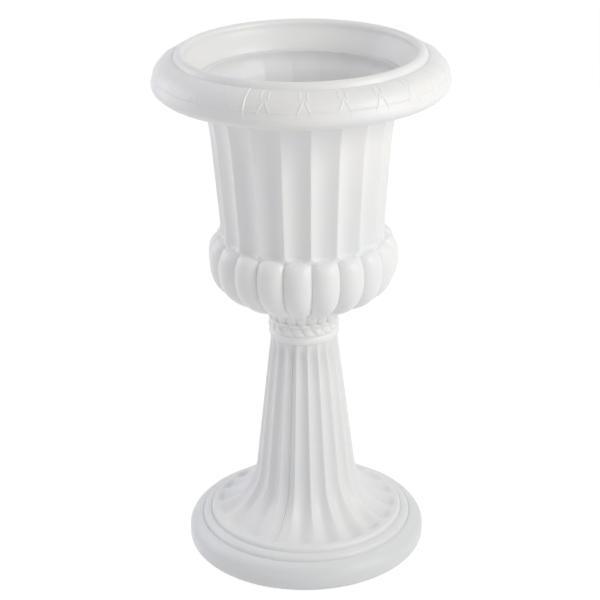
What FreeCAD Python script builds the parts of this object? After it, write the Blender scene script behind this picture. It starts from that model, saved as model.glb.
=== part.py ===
import FreeCAD, Part
import math
import os

import Sketcher

# Urn planter: a bowl with a separate rolled rim, bolted down on a fluted pedestal, in white moulded plastic.
# Frame: +Z up, origin on the floor at the middle of the foot, mould parting plane at X = 0. Millimetres.

doc = FreeCAD.newDocument("urn_planter")
sheet = doc.addObject("Spreadsheet::Sheet", "sizes")


class Size:
    """A dimension that carries its number and the sheet expression that it comes from."""

    def __init__(self, value, text):
        self.value = float(value)
        self.text = text

    def __float__(self):
        return self.value

    def __add__(self, other):
        other = as_size(other)
        return Size(self.value + other.value, f"({self.text} + {other.text})")

    def __sub__(self, other):
        other = as_size(other)
        return Size(self.value - other.value, f"({self.text} - {other.text})")

    def __mul__(self, other):
        other = as_size(other)
        return Size(self.value * other.value, f"({self.text} * {other.text})")

    def __truediv__(self, other):
        other = as_size(other)
        return Size(self.value / other.value, f"({self.text} / {other.text})")

    def __neg__(self):
        return Size(-self.value, f"(0 - {self.text})")

    def __radd__(self, other):
        return as_size(other) + self

    def __rsub__(self, other):
        return as_size(other) - self

    def __rmul__(self, other):
        return as_size(other) * self


def as_size(number):
    if isinstance(number, Size):
        return number
    return Size(number, repr(float(number)))


# Mouldings. overrun is how far one form runs past the face that it opens or joins.
shell_wall = 3.0
overrun = 1.0
flute_count = 20

# Foot of the pedestal, from the floor up
base_radius = 177.0
base_tuck = 12.0
base_tuck_height = 9.0
base_side_height = 20.0
base_crown_radius = 22.0
base_flange_width = 13.0
lower_step_set_back = 20.0
lower_step_height = 38.5
lower_step_rise = 5.0
step_batter = 1.0
upper_step_set_back = 13.5
upper_step_rise = 3.5
weep_width = 10.0
weep_angle = 24.0

# Flare and column
flute_end_set_back = 3.5
flute_end_height = 53.0
flute_end_land = 1.0
flute_end_lap = 1.5
flute_end_sink = 0.3
flare_foot_run = 38.0
flare_foot_climb = 10.0
flare_rise = 69.0
flare_head_run = 32.0
column_foot_radius = 73.6
column_head_radius = 48.6
column_length = 212.0
column_flute_depth = 3.4
flare_flute_depth = 5.0

# Rope neck and the socket in it
rope_band_height = 17.0
rope_root_set_back = 0.6
rope_bulge = 4.0
rope_strand_depth = 1.6
rope_twist = 14.0
neck_bore_lap = 10.0
socket_depth = 24.0
seat_plate = 4.0
socket_wall = 4.6
spigot_clearance = 0.4
spigot_wall = 3.5
seat_gap = 0.6
key_width = 8.0
key_reach = 1.6
key_length = 14.0

# Gadrooned belly of the bowl
floor_plate = 4.0
lobe_tip_set_out = 2.0
lobe_tip_run = 35.0
lobe_tip_climb = 18.0
belly_reach = 18.5
belly_rise = 89.4
belly_handle = 53.0
shoulder_rise = 39.0
lobe_depth = 8.0

# Fluted wall of the bowl
wall_foot_radius = 118.0
wall_foot_lap = 12.0
arris_stand = 1.5
wall_lean = 8.0
wall_straight = 118.0
wall_cove_run = 17.0
wall_cove = 90.0
wall_neck = 15.0
bowl_flute_depth = 6.0
head_flute_depth = 4.0
flange_reach = 8.0
flange_thickness = 3.0
snap_reach = 1.4
snap_height = 3.0

# Rim
sleeve_length = 21.0
sleeve_clearance = 0.5
band_set_back = 3.0
lip_flare = 14.3
lip_bead_radius = 7.0
lip_height = 33.0
bead_groove_depth = 2.2
bead_groove_width = 0.7
rim_radius = 207.5
rim_edge_height = 1.0
rim_slope_radius = 37.0
rim_roll_radius = 20.0
rim_roll_run = 17.5
vent_diameter = 5.0
vent_count = 4
vent_inset = 20.0

# Tie bolt, washers, wing nut and drain plugs
bolt_diameter = 10.0
bolt_length = 45.0
bolt_head_flats = 17.0
bolt_head_height = 6.4
bolt_chamfer = 1.0
bolt_hole_clearance = 0.5
bolt_fit = 0.08
washer_radius = 19.0
washer_thickness = 2.5
seal_radius = 20.0
seal_thickness = 3.0
nut_hub_radius = 9.5
nut_hub_height = 8.5
nut_hub_draft = 2.0
nut_wing_span = 20.0
nut_wing_drop = 16.0
nut_wing_width = 8.0
nut_wing_lean = 2.0
nut_wing_tip_radius = 5.0
nut_wing_set_back = 1.5
nut_wing_root = 7.0
nut_wing_thickness = 3.2
drain_pitch_radius = 30.0
drain_hole_diameter = 8.0
plug_clearance = 0.1
plug_head_radius = 7.5
plug_head_height = 2.5
plug_lead = 1.5
plug_lead_taper = 0.8
plug_grip_height = 9.0
plug_grip_radius = 3.0
plug_grip_neck = 1.5
plug_grip_flare = 2.0

# Every number above becomes a row of the sheet, and its name then stands for the sheet's cell.
driving = [(name, value) for name, value in globals().items() if isinstance(value, (int, float))]
for row, (name, value) in enumerate(driving, 1):
    sheet.set(f"A{row}", name)
    sheet.set(f"B{row}", str(value))
    sheet.setAlias(f"B{row}", name)
    globals()[name] = Size(value, f"sizes.{name}")
doc.recompute()

# Radii that carry on from the piece or the step beside them
lower_step_radius = base_radius - lower_step_set_back
upper_step_radius = lower_step_radius - upper_step_set_back
flute_end_radius = upper_step_radius - flute_end_set_back
rope_root_radius = column_head_radius - rope_root_set_back
rope_radius = rope_root_radius + rope_bulge
spigot_radius = rope_root_radius - socket_wall - spigot_clearance
lobe_tip_radius = rope_root_radius + lobe_tip_set_out
belly_radius = wall_foot_radius + belly_reach
wall_waist_radius = wall_foot_radius + wall_lean
wall_head_radius = wall_waist_radius + wall_cove_run
flange_radius = wall_head_radius + flange_reach
sleeve_radius = wall_head_radius + sleeve_clearance
band_foot_radius = sleeve_radius + band_set_back
lip_radius = band_foot_radius + lip_flare
rim_foot_radius = rim_radius - rim_roll_run

# Levels that the stack of pieces gives
column_foot_height = flute_end_height + flare_rise
column_head_height = column_foot_height + column_length
collar_top = column_head_height + 2 * rope_band_height
seat_top = collar_top - socket_depth
seat_bottom = seat_top - seat_plate
bowl_floor_top = seat_top + floor_plate
lobe_tip_height = collar_top + seat_gap
belly_height = lobe_tip_height + belly_rise
shoulder_height = belly_height + shoulder_rise
wall_waist_height = shoulder_height + wall_straight
wall_head_height = wall_waist_height + wall_cove
wall_top = wall_head_height + wall_neck
rim_seat = wall_top - sleeve_length


# ---------------------------------------------------------------- drawing helpers
def fix_point(sketch, edge, end, x, y, tag):
    """Hold one end of an edge at (x, y), each bound to the sheet."""
    for letter, kind, axis, place in (("x", "DistanceX", -2, x), ("y", "DistanceY", -1, y)):
        place = as_size(place)
        if abs(place.value) < 1e-9:
            sketch.addConstraint(Sketcher.Constraint("PointOnObject", edge, end, axis))
            continue
        if place.value > 0:
            rule = Sketcher.Constraint(kind, -1, 1, edge, end, place.value)
        else:
            place = -place
            rule = Sketcher.Constraint(kind, edge, end, -1, 1, place.value)
        index = sketch.addConstraint(rule)
        sketch.renameConstraint(index, f"{letter}{tag}")
        sketch.setExpression(f"Constraints.{letter}{tag}", place.text)


def draw_outline(sketch, corners):
    """Draw a closed outline. A corner is (x, y), or (x, y, radius, side) where an arc leaves it: side is 1
    when the arc's centre lies to the left of the way along the outline, and -1 when it lies to the right."""
    edges = []
    for number, corner in enumerate(corners):
        following = corners[(number + 1) % len(corners)]
        here = FreeCAD.Vector(float(corner[0]), float(corner[1]), 0)
        there = FreeCAD.Vector(float(following[0]), float(following[1]), 0)
        if len(corner) == 2:
            edges.append((sketch.addGeometry(Part.LineSegment(here, there)), 1, 2))
            continue
        radius, side = corner[2], corner[3]
        chord = there - here
        left = FreeCAD.Vector(-chord.y, chord.x, 0).normalize()
        reach = math.sqrt(max(float(radius) ** 2 - chord.Length ** 2 / 4, 0))
        centre = (here + there) * 0.5 + left * (reach * side)
        first, last = (here, there) if side > 0 else (there, here)
        start = math.atan2(first.y - centre.y, first.x - centre.x)
        stop = math.atan2(last.y - centre.y, last.x - centre.x)
        circle = Part.Circle(centre, FreeCAD.Vector(0, 0, 1), float(radius))
        edge = sketch.addGeometry(Part.ArcOfCircle(circle, start, stop))
        edges.append((edge, 1, 2) if side > 0 else (edge, 2, 1))
        index = sketch.addConstraint(Sketcher.Constraint("Radius", edge, float(radius)))
        sketch.renameConstraint(index, f"r{number}")
        sketch.setExpression(f"Constraints.r{number}", as_size(radius).text)
    for number, (edge, start, _) in enumerate(edges):
        previous, _, end = edges[number - 1]
        sketch.addConstraint(Sketcher.Constraint("Coincident", previous, end, edge, start))
        fix_point(sketch, edge, start, corners[number][0], corners[number][1], number)


def new_body(label):
    body = doc.addObject("PartDesign::Body", label)
    body.Label = label
    return body


def empty_sketch(body, name, plane, level=0):
    """A sketch on one of the body's own planes, raised to a level. In XZ_Plane x is the radius, y the height.
    """
    sketch = body.newObject("Sketcher::SketchObject", name)
    origin_planes = [item for item in body.Origin.OriginFeatures if item.Role == plane]
    sketch.AttachmentSupport = [(origin_planes[0], "")]
    sketch.MapMode = "FlatFace"
    sketch.setExpression("AttachmentOffset.Base.z", as_size(level).text)
    return sketch


def new_sketch(body, name, plane, corners, level=0):
    sketch = empty_sketch(body, name, plane, level)
    draw_outline(sketch, corners)
    return sketch


def turn_outline(body, name, corners, kind="Revolution"):
    """Turn an outline of radius and height about the upright axis, to add or (Groove) to cut."""
    sketch = new_sketch(body, f"{name}_outline", "XZ_Plane", corners)
    feature = body.newObject(f"PartDesign::{kind}", name)
    feature.Profile = sketch
    feature.ReferenceAxis = (sketch, ["V_Axis"])
    feature.Angle = 360
    return feature


def ring_corners(inner, outer, bottom, top):
    return [(inner, bottom), (outer, bottom), (outer, top), (inner, top)]


def turned_piece(label, corners):
    body = new_body(label)
    turn_outline(body, f"{label}_form", corners)
    return body


def upright_cylinder(name, radius, bottom, top, x=0, y=0):
    """A Part cylinder between two levels, bound to the sheet."""
    cylinder = doc.addObject("Part::Cylinder", name)
    for key, place in (("Radius", radius), ("Height", top - bottom), ("Placement.Base.z", bottom),
                       ("Placement.Base.x", x), ("Placement.Base.y", y)):
        cylinder.setExpression(key, as_size(place).text)
    return cylinder


def fused(name, pieces):
    joined = doc.addObject("Part::MultiFuse", name)
    joined.Shapes = pieces
    return joined


def cut_away(name, base, tools):
    """The base less all the tools."""
    cut = doc.addObject("Part::Cut", name)
    cut.Base = base
    cut.Tool = tools[0] if len(tools) == 1 else fused(f"{name}_tools", tools)
    return cut


# ---------------------------------------------------------------- fluted and lobed forms
def scalloped_wire(edge_radius, edge_height, middle_radius, middle_height, turn=0.0):
    """A closed wire of one arc per flute. The arcs meet at the edge and bow to the middle."""
    count = round(float(flute_count))
    pitch = 2 * math.pi / count
    turn = math.radians(turn)

    def point(radius, height, angle):
        return FreeCAD.Vector(radius * math.cos(angle), radius * math.sin(angle), height)

    arcs = []
    for number in range(count):
        angle = math.pi / 2 + turn + number * pitch
        first = point(edge_radius, edge_height, angle - pitch / 2)
        last = point(edge_radius, edge_height, angle + pitch / 2)
        middle = point(middle_radius, middle_height, angle)
        curve = Part.BezierCurve()
        curve.setPoles([first, middle * 2 - (first + last) / 2, last])
        arcs.append(curve.toShape())
    return Part.Wire(arcs)


def outward_normals(path):
    """Unit normals (radius, height) of a path of (radius, height) stations, away from the axis going up."""
    normals = []
    for number in range(len(path)):
        before = path[max(number - 1, 0)]
        after = path[min(number + 1, len(path) - 1)]
        run, rise = after[0] - before[0], after[1] - before[1]
        length = math.hypot(run, rise)
        normals.append((rise / length, -run / length))
    return normals


def bezier_station(corners, part_way):
    """A point of the cubic curve with these four (radius, height) corners."""
    rest = 1 - part_way
    weights = (rest ** 3, 3 * part_way * rest ** 2, 3 * part_way ** 2 * rest, part_way ** 3)
    return (sum(weight * float(corner[0]) for weight, corner in zip(weights, corners)),
            sum(weight * float(corner[1]) for weight, corner in zip(weights, corners)))


def scalloped_form(name, crests, depths, breaks=(), inset=0.0, lobes=False, skirt=0.0, turns=None):
    """A solid whose side runs through scalloped wires, one per station of crests, from the bottom up.

    The crest is the ridge between two flutes, or the back of a lobe. The flute floor, or the groove between
    lobes, lies deeper by depths, square to the surface, or level in the flat end wires. inset moves the whole
    side inwards, for the hollow of a shell. skirt adds a plain upright wall of that height under the first
    wire. turns gives the angle of each wire about the axis. breaks numbers the stations where the side may
    bend: it is smooth between two of them, and straight where no station lies between."""
    wires = []
    turns = turns or [0.0] * len(crests)
    for number, (across, up) in enumerate(outward_normals(crests)):
        radius, height = crests[number]
        high = (radius - inset * across, height - inset * up)
        if number in (0, len(crests) - 1):
            across, up = 1.0, 0.0
        low = (high[0] - depths[number] * across, high[1] - depths[number] * up)
        edge, middle = (low, high) if lobes else (high, low)
        wires.append(scalloped_wire(edge[0], edge[1], middle[0], middle[1], turns[number]))
    faces = []
    marks = [0, *breaks, len(wires) - 1]
    for first, last in zip(marks, marks[1:]):
        faces += Part.makeLoft(wires[first:last + 1], False, last - first == 1, False, 3).Faces
    bottom = wires[0]
    if skirt:
        bottom = wires[0].copy()
        bottom.translate(FreeCAD.Vector(0, 0, -skirt))
        faces += Part.makeLoft([bottom, wires[0]], False, True).Faces
    faces += [Part.Face(bottom), Part.Face(wires[-1])]
    sewn = Part.makeCompound(faces)
    sewn.sewShape(1e-4)
    solid = Part.makeSolid(sewn.Shells[0])
    if solid.Volume < 0:
        solid.reverse()
    form = doc.addObject("Part::Feature", name)
    form.Shape = solid
    return form


# ---------------------------------------------------------------- pedestal
# One blow-moulded shell: foot with two steps, flare, fluted column and rope neck, open underneath.
FLARE_STEPS = 7
taper = float(column_foot_radius - column_head_radius) / float(column_length)
flare_corners = [
    (flute_end_radius, flute_end_height),
    (flute_end_radius - flare_foot_run, flute_end_height + flare_foot_climb),
    (column_foot_radius + flare_head_run * taper, column_foot_height - flare_head_run),
    (column_foot_radius, column_foot_height),
]
pedestal_crests = [bezier_station(flare_corners, step / FLARE_STEPS) for step in range(FLARE_STEPS + 1)]
pedestal_crests.append((float(column_head_radius), float(column_head_height)))
pedestal_depths = [0.0]
for radius, height in pedestal_crests[1:]:
    spread = (radius - float(column_head_radius)) / float(column_foot_radius - column_head_radius)
    extra = float(flare_flute_depth - column_flute_depth) * min(spread, 1)
    pedestal_depths.append(float(column_flute_depth) + extra)
skirt_height = float(lower_step_rise + upper_step_rise)
column_form = scalloped_form("column_form", pedestal_crests, pedestal_depths, [FLARE_STEPS],
                             skirt=skirt_height)
column_hollow = scalloped_form("column_hollow", pedestal_crests, pedestal_depths, [FLARE_STEPS],
                               inset=float(shell_wall), skirt=skirt_height)

upper_step_height = lower_step_height + lower_step_rise + upper_step_rise
foot_form = turned_piece("foot_form", [
    (0, 0),
    (base_radius - base_tuck, 0, base_tuck, 1),
    (base_radius, base_tuck_height),
    (base_radius, base_side_height, base_crown_radius, 1),
    (lower_step_radius, lower_step_height),
    (lower_step_radius - step_batter, lower_step_height + lower_step_rise),
    (upper_step_radius, upper_step_height),
    (flute_end_radius + flute_end_land, flute_end_height - flute_end_sink),
    (flute_end_radius - flute_end_lap, flute_end_height - flute_end_sink),
    (flute_end_radius - flute_end_lap, upper_step_height - overrun),
    (0, upper_step_height - overrun),
])
base_opening = base_radius - base_tuck - base_flange_width
foot_hollow = turned_piece("foot_hollow", [
    (0, -overrun),
    (base_opening, -overrun),
    (base_opening, shell_wall),
    (base_radius - base_tuck, shell_wall, base_tuck - shell_wall, 1),
    (base_radius - shell_wall, base_tuck_height),
    (base_radius - shell_wall, base_side_height, base_crown_radius - shell_wall, 1),
    (lower_step_radius - step_batter, lower_step_height - shell_wall),
    (lower_step_radius - shell_wall, lower_step_height + lower_step_rise - shell_wall),
    (upper_step_radius - shell_wall, upper_step_height - shell_wall),
    (0, upper_step_height - shell_wall),
])

ROPE_STEPS = 6


def rope_form(name, bottom):
    """One turned rope band: strands that bulge outwards and lean as they climb."""
    stations, depths, turns = [], [], []
    for step in range(ROPE_STEPS + 1):
        part_way = step / ROPE_STEPS
        bulge = math.sin(math.pi * part_way)
        stations.append((float(rope_root_radius) + float(rope_radius - rope_root_radius) * bulge,
                         float(bottom) + float(rope_band_height) * part_way))
        depths.append(float(rope_strand_depth) * bulge)
        turns.append(-float(rope_twist) * part_way)
    return scalloped_form(name, stations, depths, lobes=True, turns=turns)


rope_lower = rope_form("rope_lower", column_head_height)
rope_upper = rope_form("rope_upper", column_head_height + rope_band_height)
neck_core = upright_cylinder("neck_core", rope_root_radius - overrun,
                             column_head_height - overrun, collar_top)
neck_hollow = upright_cylinder("neck_hollow", column_head_radius - column_flute_depth - shell_wall,
                               column_head_height - neck_bore_lap, seat_bottom)
socket = upright_cylinder("socket", spigot_radius + spigot_clearance, seat_top, collar_top + overrun)


def key_bar(name, clearance, bottom, top):
    """A bar across the neck whose two ends are the keys, or with clearance their slots."""
    bar = doc.addObject("Part::Box", name)
    reach = spigot_radius + key_reach + clearance
    width = key_width + 2 * clearance
    for key, place in (("Length", 2 * reach), ("Width", width), ("Height", top - bottom),
                       ("Placement.Base.x", -reach), ("Placement.Base.y", -(width / 2)),
                       ("Placement.Base.z", bottom)):
        bar.setExpression(key, place.text)
    return bar


def floor_holes(name, bottom, top):
    """The bolt hole and the two drain holes through a plate between two levels."""
    bolt_hole = upright_cylinder(f"{name}_bolt_hole", bolt_diameter / 2 + bolt_hole_clearance, bottom, top)
    drains = [upright_cylinder(f"{name}_drain_{side}", drain_hole_diameter / 2, bottom, top, x)
              for side, x in (("right", drain_pitch_radius), ("left", -drain_pitch_radius))]
    return [bolt_hole] + drains


def weep_notch(side, angle):
    """A half-round way out for drained water under the back of the foot."""
    notch = doc.addObject("Part::Cylinder", f"weep_{side}")
    notch.setExpression("Radius", (weep_width / 2).text)
    notch.setExpression("Height", (base_radius - base_opening + 2 * overrun).text)
    outward = FreeCAD.Vector(math.sin(math.radians(angle)), math.cos(math.radians(angle)), 0)
    turn = FreeCAD.Rotation(FreeCAD.Vector(0, 0, 1), outward)
    notch.Placement = FreeCAD.Placement(outward * (float(base_opening) - overrun), turn)
    return notch


pedestal_shell = cut_away(
    "pedestal_shell",
    fused("pedestal_solid", [column_form, foot_form, rope_lower, rope_upper, neck_core]),
    [column_hollow, foot_hollow, neck_hollow, socket,
     key_bar("key_slots", spigot_clearance, collar_top - key_length - spigot_clearance, collar_top + overrun),
     weep_notch("right", float(weep_angle)), weep_notch("left", -float(weep_angle))]
    + floor_holes("seat", seat_bottom - overrun, seat_top + overrun))

# ---------------------------------------------------------------- bowl
# One blow-moulded shell: spigot, gadrooned belly and fluted wall, with a flange and a snap bead for the rim.
LOWER_STEPS = 5
UPPER_STEPS = 4
COVE_STEPS = 4

belly_corners = [
    (lobe_tip_radius, lobe_tip_height),
    (lobe_tip_radius + lobe_tip_run, lobe_tip_height + lobe_tip_climb),
    (belly_radius, belly_height - belly_handle),
    (belly_radius, belly_height),
]
belly = []
belly_depths = []
for step in range(LOWER_STEPS):
    part_way = step / LOWER_STEPS
    belly.append(bezier_station(belly_corners, part_way))
    belly_depths.append(float(lobe_depth) * math.sin(math.pi / 2 * part_way))
shoulder_radius = float(wall_foot_radius - arris_stand)
for step in range(UPPER_STEPS + 1):
    angle = math.pi / 2 * step / UPPER_STEPS
    belly.append((shoulder_radius + (float(belly_radius) - shoulder_radius) * math.cos(angle),
                  float(belly_height) + float(shoulder_rise) * math.sin(angle)))
    belly_depths.append(float(lobe_depth) * max(math.cos(angle), 0))
belly_depths[-1] = 0.0
belly_form = scalloped_form("belly_form", belly, belly_depths, lobes=True)
belly_hollow = scalloped_form("belly_hollow", belly, belly_depths, inset=float(shell_wall), lobes=True)

wall_slope = float(wall_waist_radius - wall_foot_radius) / float(wall_straight)
wall = [(float(wall_foot_radius - wall_foot_lap * wall_slope), float(shoulder_height - wall_foot_lap))]
wall_depths = [float(bowl_flute_depth)]
for step in range(COVE_STEPS + 1):
    part_way = step / COVE_STEPS
    swell = part_way ** 2 * (3 - 2 * part_way)
    wall.append((float(wall_waist_radius) + float(wall_head_radius - wall_waist_radius) * swell,
                 float(wall_waist_height) + float(wall_cove) * part_way))
    wall_depths.append(float(bowl_flute_depth) + float(head_flute_depth - bowl_flute_depth) * swell)
wall_end = [(float(wall_head_radius), float(wall_top))]
hollow_end = [(float(wall_head_radius), float(wall_top + overrun))]
wall_depths.append(float(head_flute_depth))
wall_breaks = [1, len(wall) - 1]
wall_form = scalloped_form("wall_form", wall + wall_end, wall_depths, wall_breaks)
wall_hollow = scalloped_form("wall_hollow", wall + hollow_end, wall_depths, wall_breaks,
                             inset=float(shell_wall))

wall_root = wall_head_radius - head_flute_depth - overrun
rim_flange = turned_piece("rim_flange", ring_corners(
    wall_root, flange_radius, rim_seat - flange_thickness, rim_seat))
snap_middle = (rim_seat + wall_top) / 2
snap_bead = turned_piece("snap_bead", [
    (wall_root, snap_middle - snap_height / 2),
    (wall_head_radius, snap_middle - snap_height / 2),
    (wall_head_radius + snap_reach, snap_middle),
    (wall_head_radius, snap_middle + snap_height / 2),
    (wall_root, snap_middle + snap_height / 2),
])
spigot = upright_cylinder("spigot", spigot_radius, seat_top, lobe_tip_height + 2 * shell_wall)
spigot_bore = upright_cylinder("spigot_bore", spigot_radius - spigot_wall, bowl_floor_top,
                               lobe_tip_height + lobe_tip_climb)
bowl_shell = cut_away(
    "bowl_shell",
    fused("bowl_solid", [belly_form, wall_form, rim_flange, snap_bead, spigot,
                         key_bar("spigot_keys", Size(0, "0"), collar_top - key_length, lobe_tip_height)]),
    [belly_hollow, wall_hollow, spigot_bore]
    + floor_holes("floor", seat_top - overrun, bowl_floor_top + overrun))

# ---------------------------------------------------------------- rim
# A hollow blow-moulded ring that snaps over the top of the wall and rests on the wall's flange.
bead_level = wall_top + lip_height
bead_outer = lip_radius + 2 * lip_bead_radius
slope_start = bead_level - bead_groove_depth
rim_edge = wall_top + rim_edge_height
rim_collar = new_body("rim_collar")
turn_outline(rim_collar, "rim_skin", [
    (sleeve_radius, rim_seat),
    (rim_foot_radius, rim_seat, rim_roll_radius, 1),
    (rim_radius, rim_edge, rim_slope_radius, 1),
    (bead_outer + bead_groove_width, slope_start),
    (bead_outer, bead_level, lip_bead_radius, 1),
    (bead_outer - lip_bead_radius, bead_level + lip_bead_radius, lip_bead_radius, 1),
    (lip_radius, bead_level),
    (band_foot_radius, wall_top),
    (sleeve_radius, wall_top),
    (sleeve_radius, snap_middle + snap_height),
    (sleeve_radius + snap_reach, snap_middle),
    (sleeve_radius, snap_middle - snap_height),
])
doc.recompute()
turn_outline(rim_collar, "rim_cavity", [
    (sleeve_radius + snap_reach + shell_wall, rim_seat + shell_wall),
    (rim_foot_radius, rim_seat + shell_wall, rim_roll_radius - shell_wall, 1),
    (rim_radius - shell_wall, rim_edge, rim_slope_radius - shell_wall, 1),
    (bead_outer + bead_groove_width, slope_start - shell_wall),
    (lip_radius + shell_wall, bead_level - shell_wall),
    (band_foot_radius + shell_wall, wall_top),
    (sleeve_radius + snap_reach + shell_wall, wall_top - shell_wall),
], "Groove")
doc.recompute()
vent_sketch = empty_sketch(rim_collar, "vent_outline", "XY_Plane", rim_seat - overrun)
vent_x = rim_foot_radius - vent_inset
vent_middle = FreeCAD.Vector(float(vent_x), 0, 0)
vent_sketch.addGeometry(Part.Circle(vent_middle, FreeCAD.Vector(0, 0, 1), float(vent_diameter) / 2))
vent_sketch.addConstraint(Sketcher.Constraint("Diameter", 0, float(vent_diameter)))
vent_sketch.renameConstraint(0, "bore")
vent_sketch.setExpression("Constraints.bore", vent_diameter.text)
fix_point(vent_sketch, 0, 3, vent_x, 0, "vent")
vent = rim_collar.newObject("PartDesign::Pocket", "vent")
vent.Profile = vent_sketch
vent.Reversed = True
vent.setExpression("Length", (shell_wall + 2 * overrun).text)
doc.recompute()
vents = rim_collar.newObject("PartDesign::PolarPattern", "vents")
vents.Originals = [vent]
vents.Axis = (vent_sketch, ["N_Axis"])
vents.Angle = 360
vents.setExpression("Occurrences", vent_count.text)
rim_collar.Tip = vents

# ---------------------------------------------------------------- tie bolt, washers and seal
seal_top = bowl_floor_top + seal_thickness
head_bottom = seal_top + washer_thickness
bolt_tip = head_bottom - bolt_length
bolt_radius = bolt_diameter / 2
seal_washer = turned_piece("seal_washer", ring_corners(
    bolt_radius + bolt_fit, seal_radius, bowl_floor_top, seal_top))
penny_washer_upper = turned_piece("penny_washer_upper", ring_corners(
    bolt_radius + bolt_hole_clearance, washer_radius, seal_top, head_bottom))
penny_washer_lower = turned_piece("penny_washer_lower", ring_corners(
    bolt_radius + bolt_hole_clearance, washer_radius, seat_bottom - washer_thickness, seat_bottom))

tie_bolt = new_body("tie_bolt")
turn_outline(tie_bolt, "shank", [
    (0, bolt_tip),
    (bolt_radius - bolt_chamfer, bolt_tip),
    (bolt_radius, bolt_tip + bolt_chamfer),
    (bolt_radius, head_bottom + overrun),
    (0, head_bottom + overrun),
])
doc.recompute()
corner_radius = bolt_head_flats / 2 / math.cos(math.pi / 6)
hexagon = [(corner_radius * math.cos(math.pi / 3 * corner), corner_radius * math.sin(math.pi / 3 * corner))
           for corner in range(6)]
head_sketch = new_sketch(tie_bolt, "head_outline", "XY_Plane", hexagon, head_bottom)
head = tie_bolt.newObject("PartDesign::Pad", "head")
head.Profile = head_sketch
head.setExpression("Length", bolt_head_height.text)

# ---------------------------------------------------------------- wing nut
nut_top = seat_bottom - washer_thickness
wing_nut = new_body("wing_nut")
nut_hub = turn_outline(wing_nut, "nut_hub", [
    (bolt_radius + bolt_fit, nut_top - nut_hub_height),
    (nut_hub_radius - nut_hub_draft, nut_top - nut_hub_height),
    (nut_hub_radius, nut_top),
    (bolt_radius + bolt_fit, nut_top),
])
doc.recompute()
wing_sketch = new_sketch(wing_nut, "wing_outline", "XZ_Plane", [
    (nut_wing_root, nut_top - nut_wing_set_back),
    (nut_wing_root, nut_top - nut_hub_height + nut_wing_set_back),
    (nut_wing_span - nut_wing_width, nut_top - nut_wing_drop),
    (nut_wing_span - nut_wing_lean, nut_top - nut_wing_drop, nut_wing_tip_radius, 1),
    (nut_wing_span, nut_top - nut_wing_drop + nut_wing_width),
])
wing = wing_nut.newObject("PartDesign::Pad", "wing")
wing.Profile = wing_sketch
wing.Midplane = True
wing.setExpression("Length", nut_wing_thickness.text)
doc.recompute()
wings = wing_nut.newObject("PartDesign::PolarPattern", "wings")
wings.Originals = [wing]
wings.Axis = (nut_hub.Profile[0], ["V_Axis"])
wings.Angle = 360
wings.Occurrences = 2
wing_nut.Tip = wings

# ---------------------------------------------------------------- drain plugs
plugs = []
for side, place in (("left", -drain_pitch_radius), ("right", drain_pitch_radius)):
    stem_radius = drain_hole_diameter / 2 - plug_clearance
    plug_top = bowl_floor_top + plug_grip_height
    plug = turned_piece(f"drain_plug_{side}", [
        (0, seat_top - plug_lead),
        (stem_radius - plug_lead_taper, seat_top - plug_lead),
        (stem_radius, seat_top),
        (stem_radius, bowl_floor_top),
        (plug_head_radius, bowl_floor_top),
        (plug_head_radius, bowl_floor_top + plug_head_height),
        (plug_grip_neck, bowl_floor_top + plug_head_height),
        (plug_grip_neck, plug_top - plug_grip_flare),
        (plug_grip_radius, plug_top),
        (0, plug_top),
    ])
    plug.setExpression("Placement.Base.x", place.text)
    plugs.append(plug)

# ---------------------------------------------------------------- check and write
pieces = [rim_collar, bowl_shell, pedestal_shell, tie_bolt, penny_washer_upper, seal_washer,
          penny_washer_lower, wing_nut] + plugs
doc.recompute()
for item in doc.Objects:
    troubles = [state for state in item.State if state in ("Invalid", "Error")]
    if troubles:
        raise RuntimeError(f"{item.Label} is {troubles}")
for piece in pieces:
    if piece.Shape.isNull() or not piece.Shape.isValid() or not piece.Shape.Solids:
        raise RuntimeError(f"{piece.Label} has no valid shape")
os.makedirs("parts", exist_ok=True)
for piece in pieces:
    piece.Shape.exportStep(os.path.join("parts", f"{piece.Label}.step"))
    box = piece.Shape.BoundBox
    print(f"{piece.Label:20s} {len(piece.Shape.Solids)} solid {len(piece.Shape.Faces):4d} faces "
          f"{piece.Shape.Volume / 1000:9.2f} cm3  z {box.ZMin:7.2f} to {box.ZMax:7.2f}  r {box.XMax:7.2f}")
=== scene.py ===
"""Urn planter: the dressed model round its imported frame. Blender is in metres, the pieces' sizes in mm."""
import math

import bmesh
import bpy
import numpy as np
from mathutils import Matrix, Vector


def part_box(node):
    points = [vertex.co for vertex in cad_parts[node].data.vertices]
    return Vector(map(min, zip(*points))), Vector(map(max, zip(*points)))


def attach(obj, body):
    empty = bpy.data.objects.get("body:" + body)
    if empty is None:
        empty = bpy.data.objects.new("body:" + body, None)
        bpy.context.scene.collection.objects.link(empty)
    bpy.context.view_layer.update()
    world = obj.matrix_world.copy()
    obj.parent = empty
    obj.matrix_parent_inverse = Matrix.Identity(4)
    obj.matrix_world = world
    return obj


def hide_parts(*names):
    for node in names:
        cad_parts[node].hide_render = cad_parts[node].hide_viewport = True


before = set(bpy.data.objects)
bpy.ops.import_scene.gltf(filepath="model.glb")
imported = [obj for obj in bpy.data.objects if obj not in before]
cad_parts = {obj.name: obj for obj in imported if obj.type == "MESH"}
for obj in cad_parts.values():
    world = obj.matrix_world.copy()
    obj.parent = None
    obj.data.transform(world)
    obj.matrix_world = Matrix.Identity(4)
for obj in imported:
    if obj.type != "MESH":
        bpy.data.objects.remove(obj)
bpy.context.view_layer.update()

# ---------------------------------------------------------------- pedestal
# One blow-moulded shell of white polypropylene: a stepped foot, a flare and a column with twenty flutes, and
# a neck of a round ring and two turned ropes that holds the socket for the bowl. The two mould halves meet at
# X = 0 and leave a fine flash.
MM = 0.001
FLUTES = 20
FLUTE_PITCH = 2 * math.pi / FLUTES
POINTS_PER_FLUTE = 22
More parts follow.
